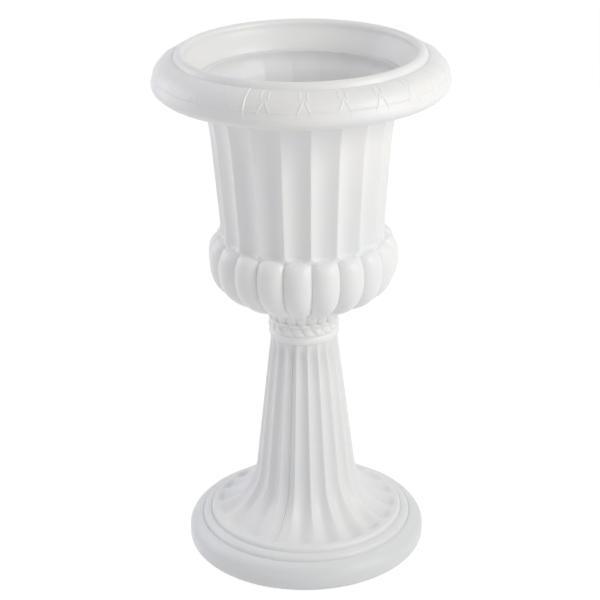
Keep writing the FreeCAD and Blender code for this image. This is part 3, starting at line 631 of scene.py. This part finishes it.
# ---------------------------------------------------------------- drain plugs
# Two soft moulded plugs that close the drain holes from inside the bowl and pull out by a small grip.
# Injection-moulded polyethylene: a light grey, smooth and slightly waxy, with faint clouds of about 11 mm.
polyethylene, tree, place = new_material("moulded_polyethylene")
cloud = add_node(tree, "TexNoise", inputs={
    "Vector": place, "Scale": cells_per_metre(11.1), "Detail": 3.0, "Roughness": 0.5})
colour = add_node(tree, "Mix", {"data_type": "RGBA"}, {
    0: cloud.outputs["Fac"], 6: linear("#A9ACAD"), 7: linear("#BABCBB")})
rough = add_node(tree, "MapRange", inputs={"Value": cloud.outputs["Fac"], "To Min": 0.4, "To Max": 0.55})
bump = add_node(tree, "Bump", inputs={"Height": cloud.outputs["Fac"], "Strength": 0.2, "Distance": 0.0002})
skin = add_node(tree, "BsdfPrincipled", inputs={
    "Base Color": colour.outputs[2], "Roughness": rough.outputs[0], "IOR": 1.51, "Normal": bump.outputs[0]})
add_node(tree, "OutputMaterial", inputs={"Surface": skin.outputs[0]})
PLUG_RADIUS = 3.9
plug_tip, plug_head, plug_top = floor_bottom - 1.5, floor_top + 2.5, floor_top + 9.0
plug_section = path_through([
    (0.3, plug_tip, 0), (3.1, plug_tip, 0.3), (PLUG_RADIUS, floor_bottom, 0.5), (PLUG_RADIUS, floor_top, 0),
    (7.5, floor_top, 0.4), (7.5, plug_head, 0.9), (1.5, plug_head, 0.8), (1.5, floor_top + 6.6, 1.0),
    (3.0, floor_top + 7.4, 0.6), (2.9, plug_top, 0.8), (0.3, plug_top, 0)], 22.5)
for side in ("left", "right"):
    plug_low, plug_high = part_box(f"drain_plug_{side}")
    plug = ring_mesh(f"{side}_drain_plug", [plain_rows(plug_section, HARDWARE)], HARDWARE, closed=False)
    plug.data.transform(Matrix.Translation(((plug_low.x + plug_high.x) / 2, 0, 0)))
    dress(plug, polyethylene, f"plug_{side}", f"drain_plug_{side}")

# ---------------------------------------------------------------- rim
# A blow-moulded polypropylene ring that snaps over the top of the wall: a round lip bead, a sloping band with
# a tongue-and-dart border in thin raised lines, and a rolled edge. Four small vent holes open under it.
rim_low, rim_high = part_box("rim_collar")
rim_radius = rim_high.y / MM
rim_seat = rim_low.z / MM
rim_top = rim_high.z / MM
DARTS = 24
DART_PITCH = 2 * math.pi / DARTS
DART_REACH = math.radians(3.5)
dart_axes = math.pi / 2 + DART_PITCH * (np.arange(DARTS) + 0.5)
dart_columns = np.concatenate([
    np.linspace(-DART_REACH, DART_REACH, 36),
    np.linspace(DART_REACH, DART_PITCH - DART_REACH, 10)[1:-1]])
RIMMED = with_seams((dart_axes[:, None] + dart_columns).ravel())
beside_dart = np.mod(RIMMED - dart_axes[0] + DART_PITCH / 2, DART_PITCH) - DART_PITCH / 2

TONGUE_FOOT = 729.6
DART_APEX = 742.5
DART_FOOT = 725.4
STEM_SET_OUT = 4.8
LEG_SET_OUT = 10.0
LINE_HEIGHT = 0.95
LINE_WIDTH = 0.78
roll = path_through([
    (160.0, rim_seat + 0.6, 0), (176.0, rim_seat + 2.6, 8.0), (199.0, 703.6, 12.0),
    (rim_radius + 2.0, 714.5, 11.0), (205.0, 727.0, 0)], 10.0)
roll[:, 0] *= rim_radius / roll[:, 0].max()
long_slope = curve_points([(204.4, 727.6), (203.0, 738.0), (193.5, 748.2), (178.2, 751.7)], 200)
stations = length_along(long_slope)
foot_station = np.interp(TONGUE_FOOT, long_slope[:, 1], stations)
wanted = np.sort(np.concatenate([
    np.linspace(0, stations[-1], 27), foot_station + np.linspace(-1.8, 1.8, 8)]))
slope = np.stack([np.interp(wanted, stations, long_slope[:, axis]) for axis in (0, 1)], axis=1)


def raised_line(distance):
    return LINE_HEIGHT * np.exp(-((distance / LINE_WIDTH) ** 2))


def dart_border(path):
    """Thin raised lines: two stems and a splayed dart at each axis, and a tongue's foot between darts."""
    out = np.abs(path[:, :1] * beside_dart[None, :])
    height = path[:, 1:] + 0 * out
    leg = 0.8 + (LEG_SET_OUT - 0.8) * (DART_APEX - height) / (DART_APEX - DART_FOOT)
    below = np.clip((DART_APEX + 0.8 - height) / 0.8, 0, 1)
    above = np.clip((height - DART_APEX) / 0.8, 0, 1) * np.clip((751.0 - height) / 0.8, 0, 1)
    beyond = np.clip((out - leg) / 0.8, 0, 1)
    legs = raised_line((out - leg) * 0.88) * below
    stems = raised_line(out - STEM_SET_OUT) * above
    feet = raised_line((height - TONGUE_FOOT) * 1.05) * beyond
    filled = np.where(np.cos(RIMMED) < 0, 0.5, 1.0)  # the left half of the mould filled its fine lines less
    return -np.maximum(np.maximum(legs, stems), feet) * filled


bead = np.concatenate([
    [(175.6, 750.7)], crown((175.0, 751.3), (166.6, rim_top - 0.35), 9, 1.1),
    crown((160.8, 752.6), (166.6, rim_top - 0.35), 7, 1.0)[::-1][1:]])
band = curve_points([(160.9, 751.0), (159.4, 741.0), (148.8, 733.0), (145.4, 720.5)], 9)
SLEEVE_RADIUS = 143.5
GROOVE_RADIUS = 144.8
sleeve = path_through([
    (SLEEVE_RADIUS, 720.1, 0), (SLEEVE_RADIUS, rim_seat + 12.3, 0), (GROOVE_RADIUS, rim_seat + 11.2, 0),
    (GROOVE_RADIUS, rim_seat + 9.8, 0), (SLEEVE_RADIUS, rim_seat + 8.7, 0), (SLEEVE_RADIUS, rim_seat, 0.6),
    (160.0, rim_seat, 0)], 45.0)
roll_flash = flash(roll, RIMMED, 1.0, 0.8, 0.4) * np.clip((roll[:, 1:] - 718.5) / 8.0, 0, 1)
rim = ring_mesh("rolled_rim", [
    relief_rows(roll, roll_flash),
    relief_rows(slope, dart_border(slope) + flash(slope, RIMMED, 1.15, 0.85, 0.5)),
    relief_rows(bead, flash(bead, RIMMED, 0.35, 0.6, 0.1)),
    plain_rows(band, RIMMED), plain_rows(sleeve, RIMMED)], RIMMED)
VENT_REACH = 170.0
VENT_RADIUS = 2.5
vent_level = rim_seat + 1.0
combine(rim, [rod(VENT_RADIUS, 5.0, (VENT_REACH * math.cos(turn), VENT_REACH * math.sin(turn), vent_level))
              for turn in (0, math.pi / 2, math.pi, 3 * math.pi / 2)])
dress(rim, polypropylene, "bowl", "rim_collar")

# ---------------------------------------------------------------- studio
# A pale floor that runs out to white, a broad soft window light from the right, and a weaker one from behind
# on the left. The background's white is only for the rays that show it, so it puts no light on the urn.
floor = block((12000.0, 12000.0, 2.0), (0, 0, -1.05))
floor.name = "studio_floor"


def background_rays(tree):
    """1 for the rays that show the background: the camera's, and those in gloss and clear things."""
    rays = add_node(tree, "LightPath")
    straight = add_node(tree, "Math", {"operation": "MAXIMUM"}, {
        0: rays.outputs["Is Camera Ray"], 1: rays.outputs["Is Glossy Ray"]})
    return add_node(tree, "Math", {"operation": "MAXIMUM"}, {
        0: straight.outputs[0], 1: rays.outputs["Is Transmission Ray"]}).outputs[0]


studio_paper = bpy.data.materials.new("studio_paper")
studio_paper.use_nodes = True
tree = studio_paper.node_tree
tree.nodes.clear()
matt = add_node(tree, "BsdfDiffuse", inputs={"Color": linear("#F2F2F2")})
shade = add_node(tree, "BsdfDiffuse", inputs={"Color": linear("#7A7A7A")})
glow = add_node(tree, "Emission", inputs={"Color": (1, 1, 1, 1), "Strength": 0.9})
lit = add_node(tree, "AddShader", inputs={0: shade.outputs[0], 1: glow.outputs[0]})
both = add_node(tree, "MixShader", inputs={0: background_rays(tree), 1: matt.outputs[0], 2: lit.outputs[0]})
add_node(tree, "OutputMaterial", inputs={"Surface": both.outputs[0]})
floor.data.materials.append(studio_paper)

world = bpy.data.worlds.new("studio")
bpy.context.scene.world = world
world.use_nodes = True
tree = world.node_tree
tree.nodes.clear()
soft = add_node(tree, "Background", inputs={"Color": linear("#F6F6F8"), "Strength": 0.57})
white = add_node(tree, "Background", inputs={"Color": (1, 1, 1, 1), "Strength": 1.0})
sky = add_node(tree, "MixShader", inputs={
    0: background_rays(tree), 1: soft.outputs[0], 2: white.outputs[0]})
add_node(tree, "OutputWorld", inputs={"Surface": sky.outputs[0]})

VIEW_AZIMUTH = 21.6  # degrees to the right of the parting line, where the picture was taken from


def soft_box(name, azimuth, elevation, distance, size, power, colour):
    """A square area lamp that looks at the middle of the urn; its azimuth is counted from the camera's."""
    turn = math.radians(VIEW_AZIMUTH + azimuth)
    rise = math.radians(elevation)
    middle = Vector((0, 0, 0.42))
    spot = middle + distance * Vector((
        math.sin(turn) * math.cos(rise), -math.cos(turn) * math.cos(rise), math.sin(rise)))
    lamp = bpy.data.lights.new(name, "AREA")
    lamp.size = size
    lamp.energy = power
    lamp.color = linear(colour)[:3]
    made = bpy.data.objects.new(name, lamp)
    bpy.context.scene.collection.objects.link(made)
    made.location = spot
    made.rotation_euler = (middle - spot).to_track_quat("-Z", "Y").to_euler()


soft_box("window", 60.0, 28.0, 2.4, 1.2, 21.5, "#FFFEFA")
soft_box("fill", -112.0, 20.0, 2.6, 1.6, 16.0, "#F4F2FF")

# ---------------------------------------------------------------- camera
# The picture's own view, worked out from its outline: a long lens 2.36 m from the urn's axis, at an eye
# height of 1.39 m, looking down 23 degrees.
camera_data = bpy.data.cameras.new("camera")
camera = bpy.data.objects.new("camera", camera_data)
bpy.context.scene.collection.objects.link(camera)
camera_data.sensor_width = 36.0
camera_data.lens = 105.9
EYE_DISTANCE, EYE_HEIGHT = 2.361, 1.389
LOOK_DOWN, LOOK_RIGHT, TILT = (math.radians(angle) for angle in (23.04, -0.13, -0.73))
azimuth = math.radians(VIEW_AZIMUTH)
camera.matrix_world = (
    Matrix.Translation((EYE_DISTANCE * math.sin(azimuth), -EYE_DISTANCE * math.cos(azimuth), EYE_HEIGHT))
    @ Matrix.Rotation(azimuth - LOOK_RIGHT, 4, "Z")
    @ Matrix.Rotation(math.pi / 2 - LOOK_DOWN, 4, "X")
    @ Matrix.Rotation(TILT, 4, "Z"))
bpy.context.scene.camera = camera
bpy.context.scene.view_settings.view_transform = "Standard"
